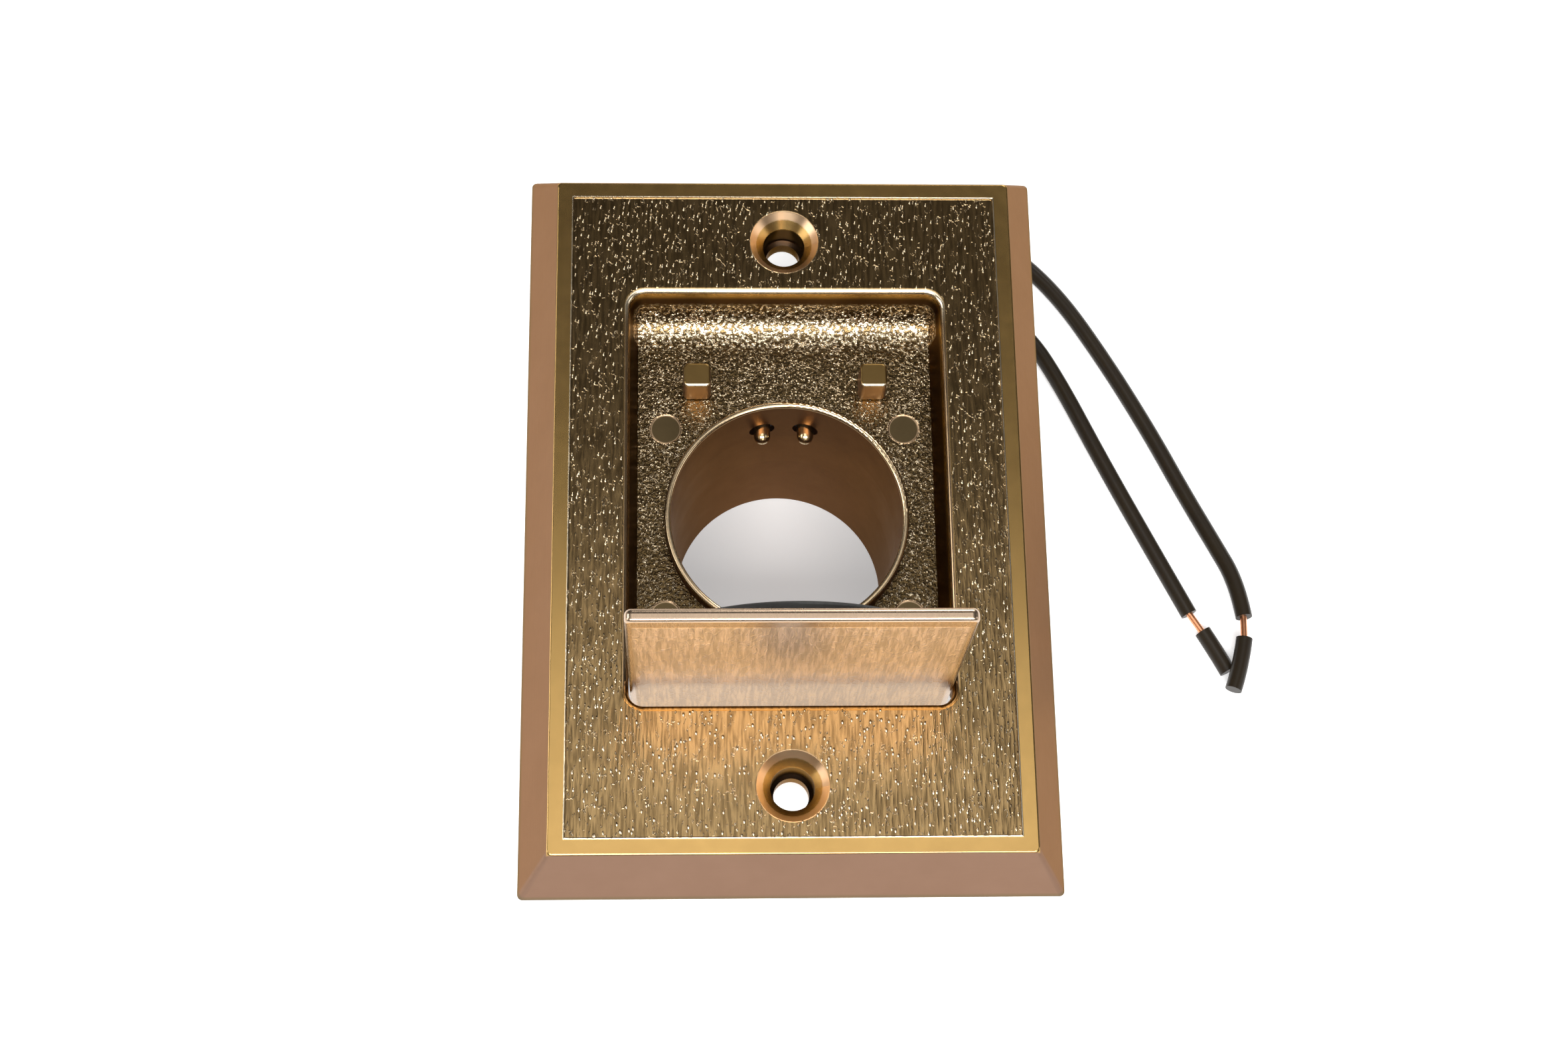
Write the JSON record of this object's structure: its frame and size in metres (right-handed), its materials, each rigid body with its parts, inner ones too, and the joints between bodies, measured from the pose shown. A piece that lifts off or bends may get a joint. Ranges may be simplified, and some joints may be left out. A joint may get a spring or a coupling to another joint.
{
  "type": "central vacuum wall inlet",
  "caption": "Bronze wall inlet for a vacuum hose: bevelled plate, recessed pocket, round through bore, sprung door with gasket, spring contacts in the bore wall and loose leads.",
  "frame": {"origin": "on the bore's axis in the wall plane, midway between the two screw holes", "axes": "+Z out of the wall along the bore; +Y along the plate's length, from the door's hinge to its free edge; +X to the right as seen from the room"},
  "size_m": [0.1276, 0.1376, 0.087],
  "materials": {
    "plate_bronze": "antique bronze plating over cast metal, satin bevels, pebbled panel",
    "tube_bronze": "antique bronze plating, satin bore and bright rolled mouth",
    "door_bronze": "antique bronze plating, fine grain",
    "rubber": "matt black rubber",
    "steel": "zinc-plated steel",
    "spring_steel": "drawn spring wire",
    "pin_brass": "polished gold-coloured brass",
    "black_plastic": "matt moulded plastic",
    "terminal_brass": "stamped brass",
    "insulation": "semi-gloss dark brown-black wire insulation",
    "copper": null
  },
  "bodies": {
    "plate": {"cover_plate": "plate_bronze", "inlet_tube": "tube_bronze", "spigot_seal": "rubber", "hinge_pin": "steel", "pin_clips": "steel", "contact_block": "black_plastic", "contact_cover": "black_plastic", "cover_screw": "steel", "block_screws": "steel", "contact_sleeve_left": "black_plastic", "contact_sleeve_right": "black_plastic", "contact_spring_left": "spring_steel", "contact_spring_right": "spring_steel", "terminal_left": "terminal_brass", "terminal_right": "terminal_brass", "wire_upper": "insulation", "wire_lower": "insulation", "wire_upper_slug": "insulation", "wire_lower_slug": "insulation", "wire_upper_copper": "copper", "wire_lower_copper": "copper"},
    "door": {"door": "door_bronze", "door_gasket": "rubber", "gasket_retainer": "steel", "gasket_screw": "steel", "door_spring_left": "spring_steel", "door_spring_right": "spring_steel"},
    "contact_left": {"contact_pin_left": "pin_brass"},
    "contact_right": {"contact_pin_right": "pin_brass"}
  },
  "joints": [
    {"name": "door_hinge", "type": "hinge", "parent": "plate", "child": "door", "pos_m": [0, -0.0216, -0.0004], "axis": [1, 0, 0], "range_deg": [-91, 5], "stiffness_Nm_per_rad": 0.012, "springref_deg": -125.48, "deforming": ["door_spring_left", "door_spring_right"]},
    {"name": "contact_slide_left", "type": "slide", "parent": "plate", "child": "contact_left", "axis": [0, 1, 0], "range_m": [0, 0.0026], "stiffness_N_per_m": 300, "springref_m": -0.001, "deforming": ["contact_spring_left"]},
    {"name": "contact_slide_right", "type": "slide", "parent": "plate", "child": "contact_right", "axis": [0, 1, 0], "range_m": [0, 0.0026], "stiffness_N_per_m": 300, "springref_m": -0.001, "deforming": ["contact_spring_right"]}
  ]
}
